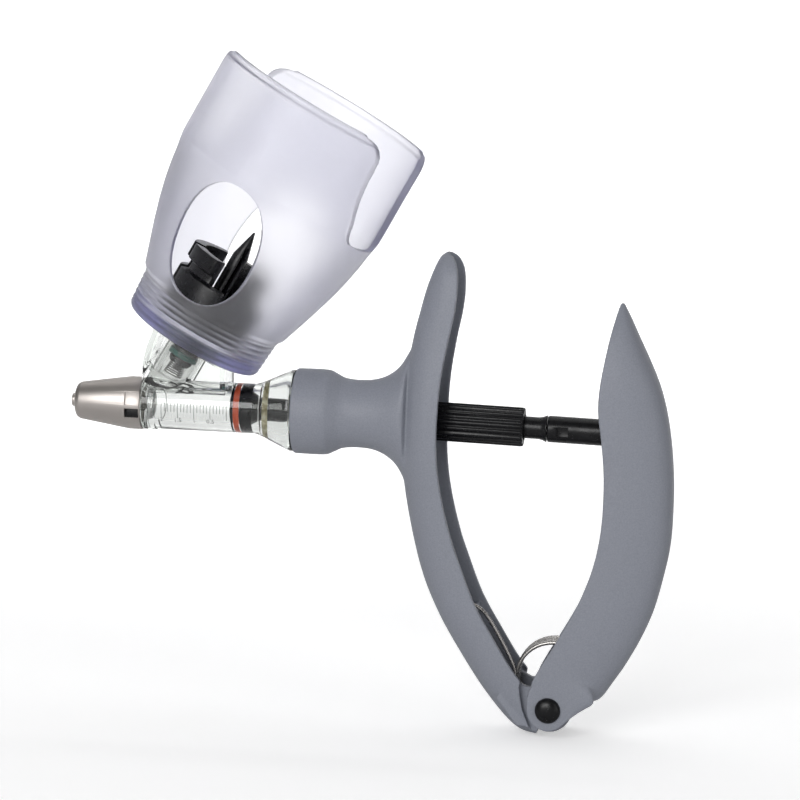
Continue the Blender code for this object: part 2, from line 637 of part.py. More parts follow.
def main():
    clear_scene()
    grey = material("satin_grey_plastic", (0.24, 0.26, 0.30), 0.45)
    black = material("black_plastic", (0.012, 0.012, 0.014), 0.35)
    steel = material("bright_steel", (0.62, 0.60, 0.58), 0.28, metallic=1.0)
    clear = material("clear_plastic", (0.95, 0.96, 0.97), 0.03, transmission=1.0)
    frosted = material("frosted_plastic", (0.80, 0.80, 0.90), 0.45, transmission=0.8)
    orange = material("orange_rubber", (0.60, 0.09, 0.03), 0.5)
    amber = material("amber_rubber", (0.50, 0.45, 0.25), 0.4)
    teal = material("teal_rubber", (0.03, 0.22, 0.19), 0.5)

    nose_cone(steel)
    luer_insert(steel)
    outlet_valve(black, steel, teal, clear)
    barrel(clear)
    rear_seal_and_guide(amber, black)
    inlet_housing(clear)
    inlet_valve(teal, black, steel)
    washer("cup_seal_ring", 9.2, 11.4, -2.3, -1.5, teal, along_cup(), 28)
    bottle_spike(black)
    bottle_collar(black)
    bottle_cup(frosted)
    handle(grey)
    lever(grey, steel)
    pivot_hardware(black, steel)
    torsion_spring(steel)
    piston(black, orange)
    dose_dial(black)
    rod_link(black)
    rod_end(black)

    bpy.context.view_layer.update()
    hang(empty("lever_axis", along_y(*PIVOT)),
         ("lever_shell", "lever_cross_pin", "pivot_screw", "pivot_nut", "pivot_bush"))
    hang(empty("rod_axis", along_x(ROD_END_X)), ("rod_link", "rod_end"))
    hang(empty("dial_axis", along_x(DIAL_FRONT_X)), ("dose_dial",))
    hang(empty("piston_axis", along_x(PISTON_X)), ("piston_head", "piston_o_ring", "piston_rod"))
    hang(empty("cup_axis", along_cup()), ("bottle_cup",))
    hang(empty("inlet_valve_axis", along_cup(-8.3)), ("inlet_valve",))
    hang(empty("outlet_valve_axis", along_x(17.4)), ("outlet_valve",))


main()
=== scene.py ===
"""Looks of the bottle-mounted automatic syringe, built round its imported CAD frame.

Sizes in the tables below are millimetres in the frame's axes: +X from the nozzle to the lever, +Z up.
"""

import math

import bmesh
import bpy
from mathutils import Matrix, Vector


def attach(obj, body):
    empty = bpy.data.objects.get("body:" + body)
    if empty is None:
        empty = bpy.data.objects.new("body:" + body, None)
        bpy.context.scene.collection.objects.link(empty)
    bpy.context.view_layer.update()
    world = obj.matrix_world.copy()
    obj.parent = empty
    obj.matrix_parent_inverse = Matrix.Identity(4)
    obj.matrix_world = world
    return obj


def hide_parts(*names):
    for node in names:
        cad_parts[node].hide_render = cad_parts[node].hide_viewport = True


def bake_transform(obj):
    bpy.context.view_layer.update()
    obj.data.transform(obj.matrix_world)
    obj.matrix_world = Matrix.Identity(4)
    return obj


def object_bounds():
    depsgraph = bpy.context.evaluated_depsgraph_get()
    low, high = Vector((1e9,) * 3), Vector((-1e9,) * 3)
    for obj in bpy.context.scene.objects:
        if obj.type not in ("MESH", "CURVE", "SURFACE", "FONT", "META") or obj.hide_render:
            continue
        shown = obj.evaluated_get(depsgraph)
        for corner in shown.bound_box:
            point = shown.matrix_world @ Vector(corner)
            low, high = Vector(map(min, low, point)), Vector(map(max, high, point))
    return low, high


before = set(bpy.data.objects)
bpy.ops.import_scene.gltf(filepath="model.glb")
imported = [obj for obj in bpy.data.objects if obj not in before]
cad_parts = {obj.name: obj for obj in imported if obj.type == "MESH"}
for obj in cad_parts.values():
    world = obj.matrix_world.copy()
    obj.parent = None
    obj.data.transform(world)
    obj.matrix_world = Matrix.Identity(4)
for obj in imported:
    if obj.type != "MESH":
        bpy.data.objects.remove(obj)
CAD_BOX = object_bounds()
MM = 0.001

# Shared dimensions, as in the CAD ------------------------------------------------------------------
BORE_R = 5.15
BARREL_R = 7.7
CHAMBER_X = 24.7
PISTON_X = 50.4
BARREL_END_X = 78.0
NOSE_END_X = 22.7
NOSE_R = 8.15
CUP_TILT = 28.8
CUP_FOOT = (38.2, 22.1)
CUP_TURN = -10.0        # windows in the cup's wall, about its own axis
SLOT_TURN = -15.0       # notches in its rim, about the same axis
CUP_TOP = 83.1
NECK_R = 13.1
NECK_FRONT_X = 70.4
PIVOT = (152.5, -86.5)
ROD_TILT = 1.1
ROD_SWING_X = PISTON_X + 5.0
PIN_X = 176.0
SPRING_CENTRE = (153.2, -78.2)
SPRING_R = 11.4
SPRING_TURNS = 8
SPRING_PITCH = 1.45
FIRST_TICK_X = 29.6
TICK_STEP = 1.02


# Places --------------------------------------------------------------------------------------------
def along_x():
    """Local +Z becomes world +X."""
    return Matrix.Rotation(math.pi / 2, 4, "Y")


def along_rod():
    """The barrel's axis tilted about the piston."""
    swing = Matrix.Translation((ROD_SWING_X * MM, 0, 0))
    return swing @ Matrix.Rotation(math.radians(ROD_TILT), 4, "Y") @ swing.inverted() @ along_x()


def rod_height(x):
    """Height of the tilted rod's axis at x."""
    return -math.tan(math.radians(ROD_TILT)) * (x - ROD_SWING_X)


def along_cup(height=0.0, turn=0.0):
    """Local +Z becomes the cup's axis; the local origin is on the cup's underside."""
    place = Matrix.Translation((CUP_FOOT[0] * MM, 0, CUP_FOOT[1] * MM))
    tilt = Matrix.Rotation(math.radians(CUP_TILT), 4, "Y")
    spun = Matrix.Rotation(math.radians(turn), 4, "Z")
    return place @ tilt @ spun @ Matrix.Translation((0, 0, height * MM))


def along_y(x, z):
    """Local +Z becomes world +Y, through the point (x, z)."""
    return Matrix.Translation((x * MM, 0, z * MM)) @ Matrix.Rotation(-math.pi / 2, 4, "X")


# Materials -----------------------------------------------------------------------------------------
class Surface:
    """A Principled material with helpers for procedural detail in object space."""

    def __init__(self, name, colour, roughness, **sockets):
        self.material = bpy.data.materials.new(name)
        self.material.use_nodes = True
        self.tree = self.material.node_tree
        self.shader = self.tree.nodes["Principled BSDF"]
        self.shader.inputs["Base Color"].default_value = (*colour, 1.0)
        self.shader.inputs["Roughness"].default_value = roughness
        for socket, value in sockets.items():
            self.shader.inputs[socket.replace("_", " ")].default_value = value
        self.place = self.tree.nodes.new("ShaderNodeTexCoord")
        self.normal = None

    def link(self, output, socket):
        self.tree.links.new(output, socket)

    def noise(self, scale, detail=3.0, stretch=(1.0, 1.0, 1.0), roughness=0.55):
        mapping = self.tree.nodes.new("ShaderNodeMapping")
        mapping.inputs["Scale"].default_value = stretch
        texture = self.tree.nodes.new("ShaderNodeTexNoise")
        texture.inputs["Scale"].default_value = scale
        texture.inputs["Detail"].default_value = detail
        texture.inputs["Roughness"].default_value = roughness
        self.link(self.place.outputs["Object"], mapping.inputs["Vector"])
        self.link(mapping.outputs["Vector"], texture.inputs["Vector"])
        return texture.outputs["Fac"]

    def spread(self, fac, stops):
        """A colour ramp over a factor; stops are (position, colour)."""
        ramp = self.tree.nodes.new("ShaderNodeValToRGB")
        elements = ramp.color_ramp.elements
        while len(elements) < len(stops):
            elements.new(0.5)
        for element, (position, colour) in zip(elements, stops):
            element.position = position
            element.color = (*colour, 1.0)
        self.link(fac, ramp.inputs["Fac"])
        return ramp.outputs["Color"]

    def colour_from(self, fac, stops):
        self.link(self.spread(fac, stops), self.shader.inputs["Base Color"])

    def roughness_from(self, fac, low, high):
        scaled = self.tree.nodes.new("ShaderNodeMapRange")
        scaled.inputs["From Min"].default_value = 0.3
        scaled.inputs["From Max"].default_value = 0.7
        scaled.inputs["To Min"].default_value = low
        scaled.inputs["To Max"].default_value = high
        self.link(fac, scaled.inputs["Value"])
        self.link(scaled.outputs["Result"], self.shader.inputs["Roughness"])

    def tint(self, colour, density):
        """Colour taken up inside a clear solid, so that thick edges show it most."""
        volume = self.tree.nodes.new("ShaderNodeVolumeAbsorption")
        volume.inputs["Color"].default_value = (*colour, 1.0)
        volume.inputs["Density"].default_value = density
        output = self.tree.nodes["Material Output"]
        self.link(volume.outputs["Volume"], output.inputs["Volume"])

    def bump(self, fac, strength, depth_mm):
        node = self.tree.nodes.new("ShaderNodeBump")
        node.inputs["Strength"].default_value = strength
        node.inputs["Distance"].default_value = depth_mm * MM
        self.link(fac, node.inputs["Height"])
        if self.normal:
            self.link(self.normal, node.inputs["Normal"])
        self.normal = node.outputs["Normal"]
        self.link(self.normal, self.shader.inputs["Normal"])


def tones(colour, spread):
    """The same colour slightly darker and slightly lighter."""
    return [(0.3, [c * (1 - spread) for c in colour]), (0.7, [c * (1 + spread) for c in colour])]


def grey_plastic():
    colour = (0.246, 0.259, 0.300)
    made = Surface("satin_grey_plastic", colour, 0.5)
    made.shader.inputs["Specular IOR Level"].default_value = 0.4
    made.colour_from(made.noise(2200.0, 3.0, (1, 1, 1), 0.7), tones(colour, 0.10))
    made.roughness_from(made.noise(1400.0, 2.0), 0.44, 0.58)
    made.bump(made.noise(2600.0, 3.0), 0.30, 0.12)
    made.bump(made.noise(420.0, 2.0), 0.10, 0.14)
    return made.material


def black_plastic():
    colour = (0.0045, 0.0045, 0.0055)
    made = Surface("black_plastic", colour, 0.33)
    made.colour_from(made.noise(160.0, 3.0), tones(colour, 0.25))
    made.shader.inputs["Specular IOR Level"].default_value = 0.28
    made.roughness_from(made.noise(900.0, 3.0), 0.24, 0.38)
    made.bump(made.noise(1800.0, 2.0), 0.15, 0.06)
    return made.material


def brushed_nickel():
    colour = (0.50, 0.465, 0.44)
    made = Surface("brushed_nickel", colour, 0.42, Metallic=1.0)
    rings = made.noise(700.0, 4.0, (6.0, 0.12, 0.12), 0.65)
    made.colour_from(made.noise(60.0, 2.0, (1.0, 2.0, 2.0)), tones(colour, 0.05))
    made.roughness_from(rings, 0.39, 0.46)
    made.bump(rings, 0.03, 0.01)
    return made.material


def bright_wire():
    colour = (0.40, 0.385, 0.37)
    made = Surface("bright_wire", colour, 0.26, Metallic=1.0)
    made.colour_from(made.noise(300.0, 2.0), tones(colour, 0.08))
    made.roughness_from(made.noise(1500.0, 3.0), 0.2, 0.34)
    return made.material


def dark_wire():
    colour = (0.12, 0.115, 0.11)
    made = Surface("dark_wire", colour, 0.3, Metallic=1.0)
    made.colour_from(made.noise(400.0, 2.0), tones(colour, 0.15))
    made.roughness_from(made.noise(1500.0, 3.0), 0.24, 0.38)
    return made.material


def clear_plastic():
    colour = (0.88, 0.885, 0.88)
    made = Surface("clear_plastic", colour, 0.01, Transmission_Weight=1.0, IOR=1.47)
    made.colour_from(made.noise(80.0, 2.0), tones(colour, 0.012))
    made.bump(made.noise(300.0, 2.0), 0.08, 0.06)
    made.tint((0.72, 0.76, 0.72), 60.0)
    return made.material


def frosted_plastic():
    made = Surface("frosted_plastic", (0.82, 0.82, 0.84), 0.34, Transmission_Weight=0.95, IOR=1.43)
    made.colour_from(made.noise(45.0, 3.0), tones((0.815, 0.815, 0.838), 0.015))
    made.roughness_from(made.noise(120.0, 2.0), 0.31, 0.36)
    made.bump(made.noise(900.0, 2.0), 0.03, 0.01)
    made.tint((0.56, 0.56, 0.80), 70.0)
    return made.material


def printed_marks():
    colour = (0.42, 0.43, 0.43)
    made = Surface("mark_plastic", colour, 0.4, Transmission_Weight=0.2)
    made.colour_from(made.noise(900.0, 2.0), tones(colour, 0.10))
    return made.material


def rubber(name, colour):
    made = Surface(name, colour, 0.45)
    made.colour_from(made.noise(400.0, 3.0), tones(colour, 0.12))
    made.roughness_from(made.noise(1100.0, 3.0), 0.36, 0.55)
    made.bump(made.noise(1500.0, 3.0), 0.2, 0.05)
    return made.material


def amber_rubber():
    made = Surface("amber_rubber", (0.55, 0.50, 0.31), 0.3, Transmission_Weight=0.25)
    made.colour_from(made.noise(520.0, 3.0), [(0.36, (0.30, 0.26, 0.13)), (0.50, (0.62, 0.57, 0.37)),
                                              (0.62, (0.80, 0.78, 0.60))])
    made.bump(made.noise(520.0, 3.0), 0.4, 0.3)
    return made.material


GREY = grey_plastic()
BLACK = black_plastic()
NICKEL = brushed_nickel()
WIRE = bright_wire()
DARK_WIRE = dark_wire()
CLEAR = clear_plastic()
FROSTED = frosted_plastic()
ORANGE = rubber("orange_rubber", (0.60, 0.085, 0.028))
TEAL = rubber("teal_rubber", (0.015, 0.19, 0.155))
AMBER = amber_rubber()
MARKS = printed_marks()


# Mesh helpers --------------------------------------------------------------------------------------
def finished(name, data, surface=None, place=None, sharp=40.0):
    """Turns a bmesh in millimetres into an object whose mesh lies in world metres."""
    bmesh.ops.remove_doubles(data, verts=data.verts, dist=1e-5)
    bmesh.ops.recalc_face_normals(data, faces=data.faces)
    bmesh.ops.scale(data, vec=(MM, MM, MM), verts=data.verts)
    if place:
        data.transform(place)
    mesh = bpy.data.meshes.new(name)
    data.to_mesh(mesh)
    data.free()
    mesh.shade_smooth()
    mesh.set_sharp_from_angle(angle=math.radians(sharp))
    if surface:
        mesh.materials.append(surface)
    obj = bpy.data.objects.new(name, mesh)
    bpy.context.scene.collection.objects.link(obj)
    return obj


def bridged(rings, closed_loop):
    """A skin over rings of equal length; closed_loop joins the last ring to the first."""
    data = bmesh.new()
    rows = [[data.verts.new(point) for point in ring] for ring in rings]
    count = len(rows[0])
    pairs = list(zip(rows, rows[1:]))
    if closed_loop:
        pairs.append((rows[-1], rows[0]))
    for low, high in pairs:
        for i in range(count):
            j = (i + 1) % count
            data.faces.new((low[i], low[j], high[j], high[i]))
    if not closed_loop:
        data.faces.new(rows[0])
        data.faces.new(rows[-1])
    return data


def rounded(points, radius, loop, steps=3):
    """The outline with its corners rounded off."""
    knots = [Vector(point) for point in points]
    count = len(knots)
    out = []
    for i, corner in enumerate(knots):
        if not loop and i in (0, count - 1):
            out.append(corner)
            continue
        back = knots[i - 1] - corner
        ahead = knots[(i + 1) % count] - corner
        straight = back.angle(ahead, 0.0) > math.radians(164)
        reach = min(radius, 0.45 * back.length, 0.45 * ahead.length)
        if straight or reach < 1e-4:
            out.append(corner)
            continue
        start = corner + back.normalized() * reach
        end = corner + ahead.normalized() * reach
        for k in range(steps + 1):
            t = k / steps
            out.append(start * (1 - t) ** 2 + corner * (2 * t * (1 - t)) + end * t * t)
    return [tuple(point) for point in out]


def turned(name, profile, surface, place, hollow=False, soft=0.25, segments=96):
    """A turned piece. profile lists (radius, height); a hollow one is a closed loop round a bore."""
    points = rounded(profile, soft, hollow) if soft else profile
    if not hollow:
        points = [(0.02, points[0][1])] + points + [(0.02, points[-1][1])]
        points = rounded(points, soft, False) if soft else points
    step = 2 * math.pi / segments
    rings = [[(r * math.cos(i * step), r * math.sin(i * step), h) for i in range(segments)]
             for r, h in points]
    return finished(name, bridged(rings, hollow), surface, place)


def ring_of(radius, count, height):
    angles = [2 * math.pi * i / count for i in range(count)]
    return [(radius * math.cos(angle), radius * math.sin(angle), height) for angle in angles]


def rod(name, radius, low, high, place, segments=64):
    """A plain cylinder, used as a guide for cuts and joins."""
    rings = [ring_of(radius, segments, height) for height in (low, high)]
    return finished(name, bridged(rings, False), None, place)


def block(name, lower, upper, place=None):
    data = bmesh.new()
    bmesh.ops.create_cube(data, size=1.0)
    bmesh.ops.scale(data, vec=[upper[i] - lower[i] for i in range(3)], verts=data.verts)
    bmesh.ops.translate(data, vec=[(upper[i] + lower[i]) / 2 for i in range(3)], verts=data.verts)
    return finished(name, data, None, place)


def plate(name, outline, low_y, high_y, place=None):
    """An outline in the XZ plane, extruded along Y."""
    rings = [[(x, y, z) for x, z in outline] for y in (low_y, high_y)]
    return finished(name, bridged(rings, False), None, place)


def arc(centre, radius, start, end, count):
    """Points on an arc in the XZ plane; angles in degrees, from +X towards +Z."""
    angles = [math.radians(start + (end - start) * i / count) for i in range(count + 1)]
    return [(centre[0] + radius * math.cos(a), centre[1] + radius * math.sin(a)) for a in angles]


def smooth_path(points, steps):
    """A Catmull-Rom curve through the points."""
    knots = [Vector(point) for point in points]
    ends = [2 * knots[0] - knots[1]] + knots + [2 * knots[-1] - knots[-2]]
    path = []
    for a, b, c, d in zip(ends, ends[1:], ends[2:], ends[3:]):
        for i in range(steps):
            t = i / steps
            path.append(0.5 * (2 * b + (c - a) * t + (2 * a - 5 * b + 4 * c - d) * t ** 2
                               + (3 * b - a - 3 * c + d) * t ** 3))
    path.append(knots[-1])
    return path


def tube(name, path, radius, sides, surface, place=None):
    """A round wire along a list of points, with frames carried along so that it doesn't twist."""
    points = [Vector(point) for point in path]
    rings = []
    side = None
    for i, point in enumerate(points):
        ahead = points[min(i + 1, len(points) - 1)] - points[max(i - 1, 0)]
        ahead.normalize()
        if side is None:
            side = ahead.orthogonal().normalized()
        side = (side - ahead * side.dot(ahead)).normalized()
        other = ahead.cross(side)
        shrink = 0.6 if i in (0, len(points) - 1) else 1.0
        rings.append([point + (side * math.cos(2 * math.pi * k / sides)
                               + other * math.sin(2 * math.pi * k / sides)) * radius * shrink
                      for k in range(sides)])
    return finished(name, bridged(rings, False), surface, place, 60.0)


def add_booleans(target, joins, cuts):
    for guides, operation in ((joins, "UNION"), (cuts, "DIFFERENCE")):
        for guide in guides:
            step = target.modifiers.new(guide.name, "BOOLEAN")
            step.operation = operation
            step.solver = "EXACT"
            step.object = guide


def baked(target, guides, sharp=40.0):
    """Applies the modifiers of target and removes the guides that they used."""
    bpy.context.view_layer.update()
    graph = bpy.context.evaluated_depsgraph_get()
    mesh = bpy.data.meshes.new_from_object(target.evaluated_get(graph))
    old = target.data
    target.modifiers.clear()
    target.data = mesh
    mesh.name = target.name
    bpy.data.meshes.remove(old)
    mesh.shade_smooth()
    mesh.set_sharp_from_angle(angle=math.radians(sharp))
    for guide in guides:
        bpy.data.objects.remove(guide, do_unlink=True)
    return target


def carved(target, joins, cuts, bevel=0.15):
    """Joins and cuts by guides, then breaks the sharp edges with a small bevel."""
    add_booleans(target, joins, cuts)
    if bevel:
        step = target.modifiers.new("edges", "BEVEL")
        step.width = bevel * MM
        step.segments = 2
        step.limit_method = "ANGLE"
        step.angle_limit = math.radians(38)
        step.harden_normals = False
    return baked(target, joins + cuts)


def ramp(value, low, high):
    """0 at low, 1 at high, straight between."""
    return max(0.0, min(1.0, (value - low) / (high - low)))


def filleted(target, share, rounds):
    """Smooths the mesh by share(x, y, z), in millimetres, where a moulding has a wide fillet."""
    group = target.vertex_groups.new(name="fillet")
    for vertex in target.data.vertices:
        weight = share(*(vertex.co / MM))
        if weight > 0.01:
            group.add([vertex.index], weight, "REPLACE")
    smooth = target.modifiers.new("fillet", "SMOOTH")
    smooth.vertex_group = group.name
    smooth.factor = 0.5
    smooth.iterations = rounds
    baked(target, [], 180.0)
    target.vertex_groups.clear()


def moulded(target, joins, cuts, voxel, passes, keep, fillets=()):
    """Joins and cuts by guides, then blends every edge as a moulding has them."""
    add_booleans(target, joins, cuts)
    remesh = target.modifiers.new("skin", "REMESH")
    remesh.mode = "VOXEL"
    remesh.voxel_size = voxel * MM
    smooth = target.modifiers.new("soften", "SMOOTH")
    smooth.factor = 0.5
    smooth.iterations = passes
    baked(target, joins + cuts, 180.0)
    for share, rounds in fillets:
        filleted(target, share, rounds)
    thin = target.modifiers.new("thin", "DECIMATE")
    thin.ratio = keep
    return baked(target, [], 180.0)


def stand_for(piece, body, slot, *nodes):
    """Rides the piece on a body in place of CAD nodes, which it hides. The slot argument is not used."""
    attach(piece, body)
    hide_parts(*nodes)


# Front end -----------------------------------------------------------------------------------------
def nose():
    """Nozzle with a spanner flat and a slot under it, the slot floored with a black sheet that is painted
    dark reflection, and the luer cone that it holds.
    """
    profile = [(3.6, 1.4), (4.2, 1.4), (5.2, 1.9), (5.75, 2.9), (NOSE_R, 18.5), (NOSE_R, NOSE_END_X),
               (6.2, NOSE_END_X), (6.2, 10.0), (2.6, 10.0), (2.6, 8.5), (3.6, 8.5)]
    cone = turned("nose_cone_turned", profile, NICKEL, along_x(), True, 0.3, 128)
    tipped = Matrix.Rotation(math.radians(-7), 4, "X")
    flat = block("flat", (18.0, -12.0, -0.9), (22.4, -7.05, 3.2), tipped)
    slot = block("slot", (18.0, -12.0, -3.9), (22.4, -5.9, -1.1))
    carved(cone, [], [flat, slot], 0.12)
    stand_for(cone, "root", "bright_steel", "nose_cone")
    # A black plastic sheet on the slot's floor: painted dark reflection, standing in for the dark band that
    # the tipped flat reflects.
    fill = block("painted_reflection_floor", (17.8, -6.5, -4.1), (22.6, -6.0, -0.9))
    carved(fill, [], [], 0.1)
    fill.data.materials.append(BLACK)
    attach(fill, "root")
    luer = [(1.0, 0.0), (1.98, 0.0), (2.2, 8.8), (2.2, 10.3), (5.8, 10.3), (5.8, 12.2), (1.0, 12.2)]
    insert = turned("luer_cone_turned", luer, NICKEL, along_x(), True, 0.2, 64)
    stand_for(insert, "root", "bright_steel", "luer_insert")


# Barrel and inlet ----------------------------------------------------------------------------------
def barrel():
    outer = [(5.8, 21.0), (5.8, 23.0), (8.0, 23.0), (8.0, 27.0), (BARREL_R, 27.3), (BARREL_R, 58.0),
             (8.6, 60.5), (11.9, 67.6), (12.5, 69.0), (12.5, 70.1), (10.1, 70.1), (10.1, BARREL_END_X)]
    inner = [(8.4, BARREL_END_X), (8.4, 70.0), (6.9, 65.0), (6.6, 63.4), (6.6, 60.5), (BORE_R, 60.5),
             (BORE_R, CHAMBER_X), (1.6, CHAMBER_X), (1.6, 21.0)]
    body = turned("barrel_moulding", outer + inner, CLEAR, along_x(), True, 0.35, 128)
    stand_for(body, "root", "clear_plastic", "barrel")


def inlet():
    """Clear housing: a hollow hood on the barrel, with a sleeve inside it for the suction valve."""
    top = [(6.2, -16.4), (6.2, -4.0), (9.35, -4.0), (9.35, -2.6), (8.1, -2.6), (8.1, 2.2)]
    body = turned("inlet_housing_moulding", top, CLEAR, along_cup(), False, 0.2, 64)
    hood = [(23.2, 4.0), (23.2, 9.5), (23.5, 14.0), (24.5, 18.5), (25.9, 22.2), (27.0, 25.6), (31.0, 27.0),
            (49.3, 16.0), (49.3, 4.0)]
    web = plate("web", hood, -7.0, 7.0)
    inner = [(25.0, 4.0), (25.1, 9.5), (25.5, 13.6), (26.4, 17.6), (27.7, 21.0), (29.6, 25.0), (34.0, 23.5),
             (47.4, 15.4), (47.4, 4.0)]
    hollow = plate("hollow", inner, -5.3, 5.3)
    above = rod("above", 30.0, -2.72, 12.0, along_cup())
    ceiling = rod("ceiling", 30.0, -4.5, 12.0, along_cup())
    shell = rod("shell", 9.4, -22.0, -2.8, along_cup(), 64)
    bore = rod("bore", 7.9, -24.1, -4.6, along_cup(), 60)
    sleeve = rod("sleeve", 6.3, -26.0, 6.0, along_cup(), 64)
    carved(hollow, [], [ceiling, sleeve], 0.0)
    carved(bore, [], [rod("sleeve", 6.36, -27.0, 7.0, along_cup(), 58)], 0.0)
    carved(web, [shell], [above, hollow, bore], 0.0)
    saddle = rod("saddle", 8.05, 10.0, 60.0, along_x(), 96)
    chamber = rod("chamber", 4.8, -15.4, 4.0, along_cup(), 64)
    nose_side = block("nose_side", (0.0, -20.0, -10.0), (23.14, 20.0, 30.0))
    below = block("below", (10.0, -20.0, -20.0), (60.0, 20.0, 4.4))
    carved(body, [web], [below, saddle, chamber, nose_side], 0.3)
    stand_for(body, "root", "clear_plastic", "inlet_housing")


def inlet_parts():
    """The suction valve seen through the clear housing: its seat, plunger and fine conical spring."""
    washer = [(1.5, -8.0), (4.75, -8.0), (4.75, -6.3), (1.5, -6.3)]
    seat = turned("inlet_seat_turned", washer, TEAL, along_cup(), True, 0.2, 64)
    stand_for(seat, "root", "teal_rubber", "inlet_valve_seat")
    plunger = [(1.2, -12.4), (1.2, -10.3), (3.2, -10.3), (3.6, -9.6), (3.9, -8.8), (3.4, -8.3)]
    valve = turned("inlet_valve_turned", plunger, BLACK, along_cup(), False, 0.1, 48)
    stand_for(valve, "inlet_valve", "black_plastic", "inlet_valve")
    low_end, length = -14.45, 3.85
    wide, taper = 2.9, 0.5
    steps = 6 * 24
    coil = []
    for i in range(steps + 1):
        t = i / steps
        radius = wide - taper * t
        angle = i * math.pi / 12
        coil.append((radius * math.cos(angle), radius * math.sin(angle), low_end + length * t))
    wire = tube("inlet_spring_wire", coil, 0.19, 8, DARK_WIRE, along_cup())
    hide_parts("inlet_spring")
    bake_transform(wire)


def outlet_spring():
    """The small coil behind the outlet valve. The real one shortens as the valve opens; this wire is built
    at one length.
    """
    low_end, length, radius = 12.7, 3.1, 1.8
    steps = 3 * 24
    coil = [(low_end + length * i / steps, radius * math.cos(i * math.pi / 12),
             radius * math.sin(i * math.pi / 12)) for i in range(steps + 1)]
    wire = tube("outlet_spring_wire", coil, 0.19, 8, WIRE)
    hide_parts("outlet_spring")
    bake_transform(wire)


# Bottle holder -------------------------------------------------------------------------------------
def cup_outline():
    """Outer wall of the cup with the rings round its foot, as (radius, height)."""
    foot = [(20.6, -2.0), (21.9, -1.4), (22.5, -0.3)]
    for i in range(6):
        low = 0.1 + 1.75 * i
        wide = 22.6 + 0.12 * i
        foot += [(wide, low), (wide - 0.6, low + 0.3), (wide - 0.6, low + 0.65), (wide + 0.06, low + 0.95),
                 (wide + 0.06, low + 1.7)]
    cone = [(24.5, 12.0), (28.5, 24.4), (30.7, 32.0), (32.1, 38.0), (33.1, 43.5), (33.6, 47.6), (34.1, 50.4),
            (34.5, 53.0), (34.9, CUP_TOP - 0.6), (34.4, CUP_TOP)]
    return foot + cone


def cup_inside():
    """Inner wall from the rim down to the hole in the foot, as (radius, height)."""
    return [(33.4, CUP_TOP), (33.3, CUP_TOP - 1.9), (32.7, CUP_TOP - 2.6), (32.4, 50.2), (31.7, 43.5),
            (30.5, 38.0), (28.7, 31.5), (26.5, 24.0), (22.4, 10.6), (20.8, 4.4), (19.0, 2.2), (8.5, 2.2),
            (8.5, -1.2), (11.8, -1.2), (11.8, -2.0)]


def petal_slot(name, turn):
    """One of the two deep notches in the cup's wall, round-bottomed and flared at the rim."""
    half = 16.8
    flare = 6.5
    above_rim = CUP_TOP + 3.0
    outline = [(-half - flare, above_rim), (-half - flare, CUP_TOP - 0.6)]
    outline += [(-half - flare * (1 - math.sin(a)), CUP_TOP - 7.1 + flare * math.cos(a))
                for a in (0.2, 0.4, 0.6, 0.8, 1.0, 1.2, 1.4, 1.5708)]
    outline += [(-16.3, 69.0), (-15.4, 64.0), (-14.3, 60.4), (-13.2, 57.6), (-12.7, 55.8), (-12.4, 54.4),
                (-11.8, 53.1), (-10.9, 52.0), (-9.8, 51.3), (-8.4, 50.8), (-5.0, 50.4)]
    outline += [(-x, z) for x, z in reversed(outline)]
    return plate(name, outline, 10.0, 45.0, along_cup(0.0, turn))


def window(name, turn):
    """An upright oval opening in the cup's cone."""
    half_width, half_height, middle = 13.2, 19.2, 31.5
    squareness = 2.3
    count = 64
    outline = []
    for i in range(count):
        angle = 2 * math.pi * i / count
        across, up = math.cos(angle), math.sin(angle)
        bulge = 1.0 / (abs(across) ** squareness + abs(up) ** squareness) ** (1 / squareness)
        outline.append((half_width * across * bulge, middle + half_height * up * bulge))
    return plate(name, outline, 10.0, 45.0, along_cup(0.0, turn))


def cup():
    shell = turned("bottle_cup_moulding", cup_outline() + cup_inside(), FROSTED, along_cup(), True, 0.0, 160)
    cuts = [petal_slot("slot_0", SLOT_TURN + 90), petal_slot("slot_1", SLOT_TURN + 270),
            window("window_0", CUP_TURN), window("window_1", CUP_TURN + 180)]
    moulded(shell, [], cuts, 0.3, 2, 0.3)
    stand_for(shell, "bottle_cup", "frosted_plastic", "bottle_cup")


def spike():
    profile = [(1.0, -5.9), (4.4, -5.9), (4.4, 5.3), (6.5, 5.3), (6.5, 6.8), (3.7, 6.8), (2.55, 12.0),
               (2.55, 28.0), (0.25, 36.6), (0.05, 35.6), (0.9, 27.0), (1.0, 26.0)]
    body = turned("spike_moulding", profile, BLACK, along_cup(), True, 0.15, 64)
    groove = block("groove", (-0.6, -4.0, 10.0), (0.6, -0.5, 31.5), along_cup(0.0, 30.0))
    carved(body, [], [groove], 0.08)
    stand_for(body, "root", "black_plastic", "bottle_spike")


def collar():
    profile = [(4.8, 2.5), (15.0, 2.5), (15.0, 17.0), (12.8, 17.6), (12.6, 20.0), (14.5, 20.6),
               (14.5, 25.4), (10.9, 25.4), (10.9, 4.8), (4.8, 4.8)]
    body = turned("collar_moulding", profile, BLACK, along_cup(), True, 0.2, 96)
    cuts = [block(f"slot_{i}", (9.0, -1.6, 6.5), (17.0, 1.6, 27.0), along_cup(0.0, 20.0 + 90.0 * i))
            for i in range(4)]
    cuts.append(block("open_side", (5.0, -16.0, 17.3), (18.0, 16.0, 27.0), along_cup(0.0, -35.0)))
    carved(body, [], cuts, 0.15)
    stand_for(body, "root", "black_plastic", "bottle_collar")


